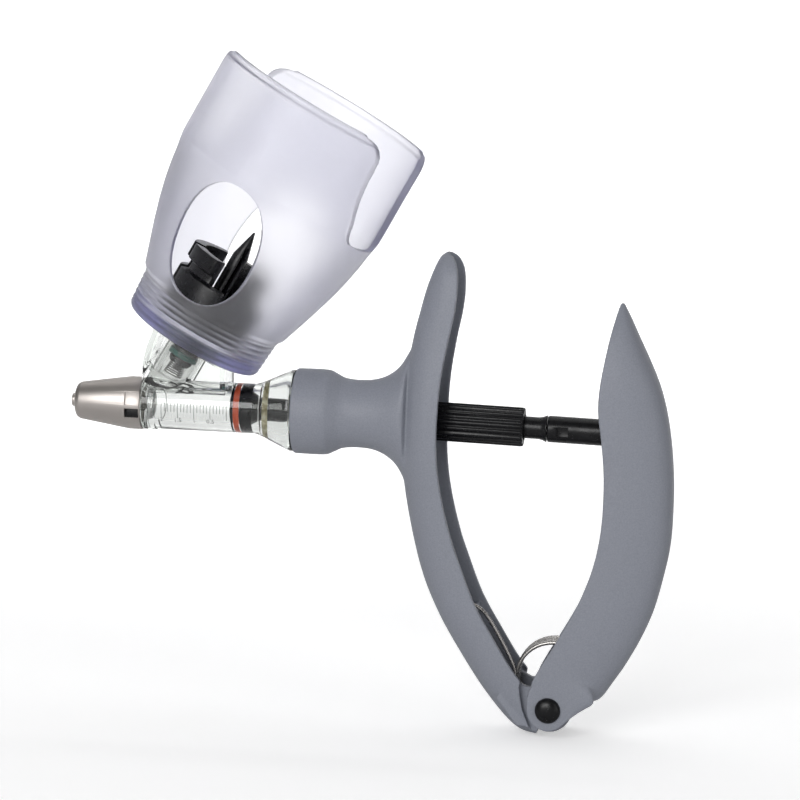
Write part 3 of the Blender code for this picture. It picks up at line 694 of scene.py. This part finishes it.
# Handle and lever ----------------------------------------------------------------------------------
# Stations of both channels: closed-side point, rim point (each x, z) and half width
HANDLE_STATIONS = [
    ((115.6, 50.9), (116.8, 50.7), 3.4),
    ((113.8, 49.4), (118.7, 48.8), 7.2),
    ((112.0, 45.7), (120.0, 45.1), 10.0),
    ((109.9, 39.7), (120.3, 39.3), 11.4),
    ((108.1, 32.5), (119.7, 32.5), 12.0),
    ((106.3, 24.5), (118.1, 24.0), 12.5),
    ((104.9, 14.0), (116.4, 12.5), 13.6),
    ((104.0, 2.0), (115.8, 1.0), 14.3),
    ((104.0, -10.0), (116.0, -11.5), 14.0),
    ((105.2, -21.5), (117.7, -23.0), 13.0),
    ((108.0, -35.0), (120.9, -35.0), 12.3),
    ((111.9, -48.5), (124.2, -44.0), 12.0),
    ((117.5, -60.7), (129.0, -55.5), 12.0),
    ((124.9, -72.7), (135.2, -65.8), 12.0),
    ((131.6, -82.3), (140.9, -74.6), 12.0),
    ((138.7, -90.6), (146.6, -81.4), 12.0),
    ((143.6, -94.3), (150.2, -85.4), 12.0),
    ((148.6, -95.5), (152.0, -87.0), 12.0),
]

NECK_SECTIONS = [
    # x, half height, half width
    (NECK_FRONT_X, 12.7, 12.7), (70.7, NECK_R, NECK_R), (79.6, NECK_R, NECK_R), (82.4, 12.2, 12.2),
    (84.8, 11.0, 11.0), (87.4, 10.5, 10.5), (91.0, 10.4, 10.5), (94.2, 10.7, 10.8), (97.2, 11.6, 11.3),
    (100.0, 13.2, 12.0), (102.7, 15.8, 12.8), (105.4, 20.6, 13.2),
]

LEVER_STATIONS = [
    ((169.9, 37.7), (168.9, 37.4), 1.8),
    ((172.3, 33.2), (167.8, 32.8), 5.6),
    ((175.0, 27.6), (166.6, 27.2), 8.7),
    ((178.5, 20.6), (165.4, 20.1), 10.9),
    ((181.8, 13.2), (164.4, 12.6), 11.9),
    ((184.2, 5.4), (164.2, 5.4), 12.1),
    ((186.0, -4.0), (165.5, -3.6), 12.1),
    ((187.1, -14.5), (166.6, -13.5), 12.1),
    ((187.4, -25.0), (166.8, -24.0), 12.1),
    ((187.0, -35.6), (166.1, -33.6), 12.0),
    ((185.3, -45.4), (164.2, -43.0), 11.9),
    ((182.7, -56.0), (160.8, -52.6), 12.0),
    ((179.0, -65.2), (156.8, -60.8), 12.0),
    ((174.7, -73.4), (152.6, -68.4), 12.0),
    ((171.6, -78.2), (149.4, -74.0), 12.0),
    ((168.5, -83.0), (147.2, -78.8), 12.0),
    ((166.5, -84.6), (148.2, -80.6), 12.0),
]


def channel(name, stations, wall, roundness, surface):
    """A U-shaped channel lofted through stations of (closed-side point, rim point, half width)."""
    rows = [Vector((s[0][0], s[0][1], s[1][0], s[1][1], s[2])) for s in stations]
    sides = 28
    rings = []
    for closed_x, closed_z, rim_x, rim_z, half in smooth_path(rows, 5):
        rim = Vector((rim_x, 0, rim_z))
        inward = Vector((closed_x, 0, closed_z)) - rim
        depth = inward.length
        inward.normalize()
        thin = min(wall, 0.4 * depth, 0.4 * half)
        ring = []
        for width, reach, order in ((half, depth, 1), (half - thin, depth - thin, -1)):
            for i in range(sides + 1)[::order]:
                angle = math.pi * i / sides
                across = math.copysign(abs(math.cos(angle)) ** (2 / roundness), math.cos(angle))
                down = math.sin(angle) ** (2 / roundness) if 0 < i < sides else 0.0
                ring.append(rim + inward * reach * down + Vector((0, -width * across, 0)))
        rings.append(ring)
    return finished(name, bridged(rings, False), surface)


def neck_loft():
    """The round neck, which widens into the handle's arm."""
    count = 72
    sections = [Vector(section) for section in NECK_SECTIONS]
    rings = []
    for x, high, wide in [sections[0]] + smooth_path(sections[1:], 4):
        rings.append([(x, wide * math.cos(2 * math.pi * i / count), high * math.sin(2 * math.pi * i / count))
                      for i in range(count)])
    return finished("neck", bridged(rings, False))


def ear_outline(left):
    """An ear round the pivot, running back to left."""
    round_end = arc(PIVOT, 7.2, -100, 100, 24)
    return round_end + [(left, PIVOT[1] + 5.7), (left, PIVOT[1] - 2.0)]


def seam_outline():
    """The part of the handle's sides that is set back to make room for the lever's cheeks."""
    curve = [(149.2, -97.0), (147.3, -92.9), (146.0, -89.9), (144.6, -86.6), (144.0, -83.4), (143.5, -80.0),
             (143.9, -77.4), (146.5, -72.0)]
    return curve + [(170.0, -72.0), (170.0, -97.0)]


def spring_rib():
    """A rib across the channel, which the spring's hooked leg bears on."""
    half = [(1.2, 5.2), (3.6, 9.0), (6.5, 10.2), (10.8, 10.6)]
    outline = half + [(up, -across) for up, across in reversed(half)]
    rings = [[(up, across, low) for up, across in outline] for low in (-3.6, -1.6)]
    turn = Matrix.Rotation(-math.atan2(5.2, 11.7), 4, "Y")
    place = Matrix.Translation((117.5 * MM, 0, -60.7 * MM)) @ turn
    return finished("rib", bridged(rings, False), None, place)


def neck_root(x, y, z):
    """Where the neck runs out into the arm."""
    return ramp(x, 91.0, 98.0) * ramp(x, 113.5, 109.0) * ramp(abs(z), 36.0, 27.0)


def cheek_root(x, y, z):
    """Where the lever's cheeks run out into its sides."""
    return ramp(x, 154.0, 160.0) * ramp(z, -88.5, -85.0) * ramp(z, -64.0, -72.0)


def handle():
    shell = channel("handle_moulding", HANDLE_STATIONS, 2.1, 2.7, GREY)
    joins = [neck_loft(), spring_rib()]
    root = [(136.5, -83.6), (140.6, -77.6), (147.0, -80.8), (147.0, -92.2), (143.0, -91.8)]
    for side in (-1, 1):
        joins.append(plate(f"ear_root_{side}", root, side * 6.71, side * 10.9))
        joins.append(plate(f"ear_{side}", ear_outline(141.0), side * 6.7, side * 9.0))
    cuts = [rod("neck_bore", 8.0, 60.0, 112.0, along_x()),
            rod("counterbore", 10.5, 60.0, 80.6, along_x(), 96)]
    cuts += [plate(f"recess_{side}", seam_outline(), side * 8.96, side * 16.0) for side in (-1, 1)]
    cuts.append(rod("ear_hole", 2.5, -20.0, 20.0, along_y(*PIVOT)))
    moulded(shell, joins, cuts, 0.33, 2, 0.35, [(neck_root, 90)])
    stand_for(shell, "root", "grey_plastic", "handle_shell")


def cheek_outline():
    """One of the lever's two cheeks: round at the pivot, running up into the lever's side."""
    round_end = arc(PIVOT, 6.4, 172, 312, 20)
    return round_end + [(159.5, -88.6), (161.7, -87.0), (164.0, -85.6), (166.2, -84.5), (167.0, -82.4),
                        (165.0, -79.0), (152.5, -74.8), (149.0, -76.9), (146.6, -80.6), (145.95, -84.0)]


def lever():
    shell = channel("lever_moulding", LEVER_STATIONS, 2.2, 2.9, GREY)
    pin = along_y(PIN_X, rod_height(PIN_X))
    joins = []
    for side in (-1, 1):
        joins.append(plate(f"cheek_{side}", cheek_outline(), side * 9.3, side * 11.9))
        low = 4.4 if side > 0 else -9.6
        joins.append(rod(f"boss_{side}", 3.2, low, low + 5.2, pin))
    cuts = [rod("pin_holes", 1.55, -8.6, 8.6, pin), rod("ear_clearance", 7.7, -9.26, 9.26, along_y(*PIVOT)),
            rod("screw_hole", 1.6, -20.0, 20.0, along_y(*PIVOT)),
            rod("coil_clearance", 12.5, -8.0, 8.0, along_y(*SPRING_CENTRE))]
    moulded(shell, joins, cuts, 0.33, 2, 0.35, [(cheek_root, 150)])
    stand_for(shell, "lever", "grey_plastic", "lever_shell")


def pivot_hardware():
    place = along_y(*PIVOT)
    head = [(0.9, -13.97), (1.8, -13.85), (2.6, -13.6), (3.3, -13.2), (3.75, -12.65), (3.95, -12.0),
            (1.3, -12.0), (1.3, 13.2)]
    screw = turned("pivot_screw_turned", head, BLACK, place, False, 0.12, 64)
    stand_for(screw, "lever", "black_plastic", "pivot_screw")
    nut = [(1.6, 12.2), (3.95, 12.2), (3.95, 13.0), (3.2, 13.7), (1.6, 13.7)]
    cap = turned("pivot_nut_turned", nut, BLACK, place, True, 0.3, 64)
    stand_for(cap, "lever", "black_plastic", "pivot_nut")


def spring():
    """Torsion spring: one leg hooked over the handle's rib, the turns, and one leg up the lever."""
    half = 0.5 * SPRING_TURNS * SPRING_PITCH
    y = -half
    hook = smooth_path([(123.6, y, -58.0), (126.0, y, -56.6), (127.9, y, -56.4), (130.2, y, -57.4),
                        (132.6, y, -59.8), (135.8, y, -64.8), (139.5, y, -71.3), (141.4, y, -75.4)], 6)
    per_turn = 40
    steps = SPRING_TURNS * per_turn + per_turn // 2
    coil = []
    for i in range(steps + 1):
        angle = math.pi + 2 * math.pi * i / per_turn
        coil.append((SPRING_CENTRE[0] + SPRING_R * math.cos(angle), -half + 2 * half * i / steps,
                     SPRING_CENTRE[1] + SPRING_R * math.sin(angle)))
    leg = smooth_path([(164.9, half, -75.4), (167.0, half, -70.2), (170.9, half, -65.2),
                       (174.4, half, -60.2), (176.4, half, -57.1)], 6)
    wire = tube("torsion_spring_wire", hook + coil + leg, 0.6, 12, WIRE)
    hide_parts("torsion_spring")
    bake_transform(wire)


# Piston, rod and dial ------------------------------------------------------------------------------
def piston():
    x = PISTON_X
    seal = BORE_R + 0.02
    head = [(4.4, x), (seal, x + 0.4), (seal, x + 1.1), (4.0, x + 1.1), (4.0, x + 3.1), (seal, x + 3.1),
            (seal, x + 6.9), (3.9, x + 9.4)]
    body = turned("piston_turned", head, BLACK, along_x(), False, 0.15, 96)
    stand_for(body, "piston", "black_plastic", "piston_head")
    groove = [(4.1, x + 1.2), (seal, x + 1.2), (seal, x + 3.0), (4.1, x + 3.0)]
    ring = turned("piston_ring_turned", groove, ORANGE, along_x(), True, 0.12, 96)
    stand_for(ring, "piston", "orange_rubber", "piston_o_ring")


def rear_ring():
    profile = [(4.4, 61.2), (6.64, 61.2), (6.64, 63.2), (4.4, 63.2)]
    ring = turned("rear_ring_turned", profile, AMBER, along_x(), True, 0.25, 96)
    stand_for(ring, "root", "amber_rubber", "rear_seal_ring")


def wrapped(name, flat, start_x, height):
    """Lays a flat mesh, in millimetres, on the near side of the barrel."""
    for vertex in flat.verts:
        across, up, out = vertex.co
        angle = (height + up) / BARREL_R
        radius = BARREL_R - 0.05 + out
        vertex.co = (start_x + across, -radius * math.cos(angle), radius * math.sin(angle))
    piece = finished(name, flat, MARKS)
    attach(piece, "root")


def graduations():
    """Fine ticks with a longer one at every fifth, and generic numerals under them."""
    ticks = bmesh.new()
    for i in range(21):
        long = 4.6 if i % 5 == 0 else 2.6
        for k in range(6):
            lower = Vector((TICK_STEP * i - 0.11, 1.2 - long * (k + 1) / 6, 0.0))
            upper = Vector((TICK_STEP * i + 0.11, 1.2 - long * k / 6, 0.16))
            corners = bmesh.ops.create_cube(ticks, size=1.0)["verts"]
            bmesh.ops.scale(ticks, vec=upper - lower, verts=corners)
            bmesh.ops.translate(ticks, vec=(upper + lower) / 2, verts=corners)
    wrapped("graduation_ticks", ticks, FIRST_TICK_X, 0.0)
    for i, text in enumerate(("2", "1.5", "1", "0.5")):
        curve = bpy.data.curves.new("numeral", "FONT")
        curve.body = text
        curve.size = 2.1
        curve.extrude = 0.08
        curve.resolution_u = 3
        curve.align_x = "CENTER"
        holder = bpy.data.objects.new("numeral", curve)
        bpy.context.scene.collection.objects.link(holder)
        bpy.context.view_layer.update()
        graph = bpy.context.evaluated_depsgraph_get()
        outline = bpy.data.meshes.new_from_object(holder.evaluated_get(graph))
        bpy.data.objects.remove(holder, do_unlink=True)
        flat = bmesh.new()
        flat.from_mesh(outline)
        bmesh.ops.translate(flat, vec=(0.0, 0.0, 0.08), verts=flat.verts)
        wrapped(f"graduation_numeral_{i}", flat, FIRST_TICK_X + 5 * TICK_STEP * i, -4.9)


def dial():
    """A hollow sleeve of 18 flutes. Its rings run up the outside and back down the bore."""
    flute = [6.0, 6.0, 6.0, 5.85, 5.5, 5.45, 5.5, 5.85]
    count = 18 * len(flute)
    outside = [(0.93, 112.5), (0.97, 112.65), (1.0, 113.1), (1.0, 140.3), (0.985, 140.75), (0.94, 141.0)]
    bore = [(0.66, 141.0), (0.66, 129.8), (0.70, 129.8), (0.70, 118.0), (0.62, 118.0)]
    rings = [ring_of(6.2 * 0.62, count, 112.5)]
    for scale, x in outside:
        outline = []
        for i in range(count):
            angle = 2 * math.pi * i / count
            radius = flute[i % len(flute)]
            outline.append((radius * math.cos(angle) * scale, radius * math.sin(angle) * scale, x))
        rings.append(outline)
    rings += [ring_of(6.2 * scale, count, x) for scale, x in bore]
    sleeve = finished("dose_dial_moulding", bridged(rings, True), BLACK, along_rod())
    stand_for(sleeve, "dose_dial", "black_plastic", "dose_dial")


def rods():
    link = [(3.35, 130.6), (3.35, 145.6), (3.6, 146.8), (4.05, 147.8), (4.05, 148.0)]
    neck = turned("rod_link_turned", link, BLACK, along_rod(), False, 0.2, 64)
    stand_for(neck, "rod", "black_plastic", "rod_link")
    level = rod_height(PIN_X)
    end = turned("rod_end_moulding", [(3.8, 148.3), (4.05, 148.6), (4.05, 168.0), (3.2, 169.0)], BLACK,
                 along_rod(), False, 0.15, 64)
    blade = block("blade", (166.5, -3.0, level - 3.9), (180.6, 3.0, level + 7.4))
    slot = block("slot", (PIN_X - 1.65, -6.0, level - 1.9), (PIN_X + 1.65, 6.0, level + 5.3))
    window_level = rod_height(153.0) - 0.3
    hole = block("hole", (151.3, -6.0, window_level - 1.5), (154.7, -2.6, window_level + 1.5))
    carved(end, [blade], [slot, hole], 0.15)
    stand_for(end, "rod", "black_plastic", "rod_end")


# CAD pieces that stay ------------------------------------------------------------------------------
def dress_kept_nodes():
    """Materials for the CAD pieces that no finer piece stands for."""
    kept = {"piston_rod": BLACK, "outlet_valve": BLACK, "outlet_valve_seat": TEAL, "nose_gasket": CLEAR,
            "rod_guide": BLACK, "cup_seal_ring": TEAL, "lever_cross_pin": WIRE, "pivot_bush": WIRE}
    for name, surface in kept.items():
        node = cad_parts[name]
        node.data.materials.clear()
        node.data.materials.append(surface)


# Studio --------------------------------------------------------------------------------------------
def seen_directly(tree):
    """1 on camera rays and on rays through clear parts, otherwise 0."""
    path = tree.nodes.new("ShaderNodeLightPath")
    either = tree.nodes.new("ShaderNodeMath")
    either.operation = "MAXIMUM"
    tree.links.new(path.outputs["Is Camera Ray"], either.inputs[0])
    tree.links.new(path.outputs["Is Transmission Ray"], either.inputs[1])
    return either.outputs["Value"]


def backdrop():
    """A pale sweep of paper: floor, curve and wall. It glows a little where it is seen directly."""
    low = CAD_BOX[0][2] - 0.0005
    made = Surface("studio_paper", (0.88, 0.88, 0.885), 0.9)
    made.colour_from(made.noise(8.0, 2.0), tones((0.86, 0.86, 0.865), 0.008))
    made.shader.inputs["Emission Color"].default_value = (1.0, 1.0, 1.0, 1.0)
    glow = made.tree.nodes.new("ShaderNodeMath")
    glow.operation = "MULTIPLY"
    glow.inputs[1].default_value = 0.42
    made.tree.links.new(seen_directly(made.tree), glow.inputs[0])
    made.tree.links.new(glow.outputs["Value"], made.shader.inputs["Emission Strength"])
    profile = [(-3.0, low)] + [(1.6 + 0.9 * math.sin(a), low + 0.9 - 0.9 * math.cos(a))
                               for a in [math.pi / 2 * k / 16 for k in range(17)]] + [(2.5, 3.5)]
    data = bmesh.new()
    rows = [[data.verts.new((x, y, z)) for y, z in profile] for x in (-4.0, 4.2)]
    for a, b, c, d in zip(rows[0], rows[0][1:], rows[1][1:], rows[1]):
        data.faces.new((a, b, c, d))
    mesh = bpy.data.meshes.new("studio_sweep")
    data.to_mesh(mesh)
    data.free()
    mesh.shade_smooth()
    mesh.materials.append(made.material)
    obj = bpy.data.objects.new("studio_sweep", mesh)
    bpy.context.scene.collection.objects.link(obj)


def soft_light(name, place, target, size, power):
    data = bpy.data.lights.new(name, "AREA")
    data.shape = "RECTANGLE"
    data.size, data.size_y = size
    data.energy = power
    lamp = bpy.data.objects.new(name, data)
    bpy.context.scene.collection.objects.link(lamp)
    lamp.location = place
    lamp.rotation_euler = (Vector(target) - Vector(place)).to_track_quat("-Z", "Y").to_euler()


def studio_world():
    """Dim surroundings for soft reflections, and a pale background past the edge of the sweep."""
    world = bpy.data.worlds.new("studio_world")
    world.use_nodes = True
    tree = world.node_tree
    dim = tree.nodes["Background"]
    dim.inputs["Color"].default_value = (1.0, 1.0, 1.0, 1.0)
    dim.inputs["Strength"].default_value = 0.16
    pale = tree.nodes.new("ShaderNodeBackground")
    pale.inputs["Strength"].default_value = 0.95
    pale.inputs["Color"].default_value = (1.0, 1.0, 1.0, 1.0)
    mixed = tree.nodes.new("ShaderNodeMixShader")
    tree.links.new(seen_directly(tree), mixed.inputs["Fac"])
    tree.links.new(dim.outputs["Background"], mixed.inputs[1])
    tree.links.new(pale.outputs["Background"], mixed.inputs[2])
    tree.links.new(mixed.outputs["Shader"], tree.nodes["World Output"].inputs["Surface"])
    bpy.context.scene.world = world


def studio():
    backdrop()
    studio_world()
    centre = (0.1, 0.0, 0.0)
    soft_light("key", (-0.30, -1.6, 0.55), centre, (1.1, 0.8), 17.6)
    soft_light("fill", (1.5, -0.9, 0.3), centre, (0.7, 1.2), 5.0)
    soft_light("top", (0.1, 0.35, 1.6), centre, (1.6, 0.8), 3.2)
    soft_light("backdrop_wash", (0.1, 0.9, 1.4), (0.1, 2.4, 0.2), (3.0, 0.6), 34.0)
    bpy.context.scene.view_settings.view_transform = "Standard"


def camera():
    azimuth, elevation, roll = (math.radians(a) for a in (8.0, 6.5, 1.9))
    away = Vector((math.sin(azimuth) * math.cos(elevation), -math.cos(azimuth) * math.cos(elevation),
                   math.sin(elevation)))
    data = bpy.data.cameras.new("camera")
    data.lens = 147.0
    data.sensor_width = 36.0
    data.clip_start = 0.01
    obj = bpy.data.objects.new("camera", data)
    bpy.context.scene.collection.objects.link(obj)
    turn = (-away).to_track_quat("-Z", "Y").to_matrix().to_4x4() @ Matrix.Rotation(roll, 4, "Z")
    obj.matrix_world = Matrix.Translation(Vector((0.1025, 0.0, 0.0048)) + away) @ turn
    bpy.context.scene.camera = obj


nose()
barrel()
inlet()
inlet_parts()
outlet_spring()
cup()
spike()
collar()
handle()
lever()
pivot_hardware()
spring()
piston()
rear_ring()
graduations()
dial()
rods()
dress_kept_nodes()
studio()
camera()
